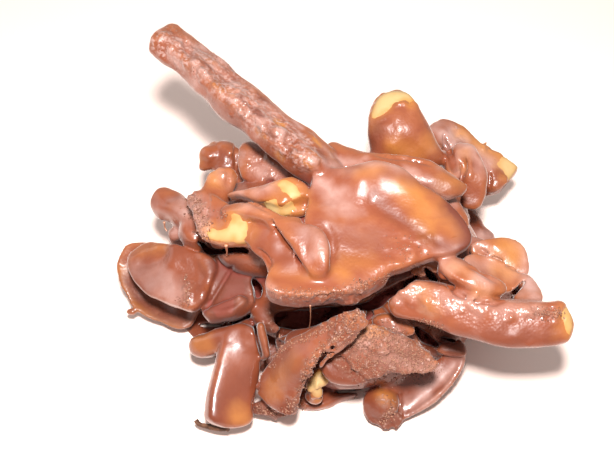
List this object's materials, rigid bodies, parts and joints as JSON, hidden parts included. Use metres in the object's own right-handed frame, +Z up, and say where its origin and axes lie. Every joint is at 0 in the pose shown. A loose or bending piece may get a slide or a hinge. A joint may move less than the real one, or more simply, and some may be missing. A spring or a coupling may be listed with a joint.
{
  "type": "chocolate haystack",
  "caption": "Heaped sweet of crisp noodles, flakes and nut pieces joined by milk chocolate, resting on its flat underside.",
  "frame": {"origin": "middle of the underside of the heap's box, on the surface it rests on", "axes": "+X along the heap's length, +Z up; the side that the picture shows is -Y"},
  "size_m": [0.0655, 0.0527, 0.0331],
  "materials": {
    "milk_chocolate": "glossy set milk chocolate, matt and rough where the crisp pieces show through"
  },
  "bodies": {
    "root": {"haystack": "milk_chocolate"}
  },
  "joints": []
}
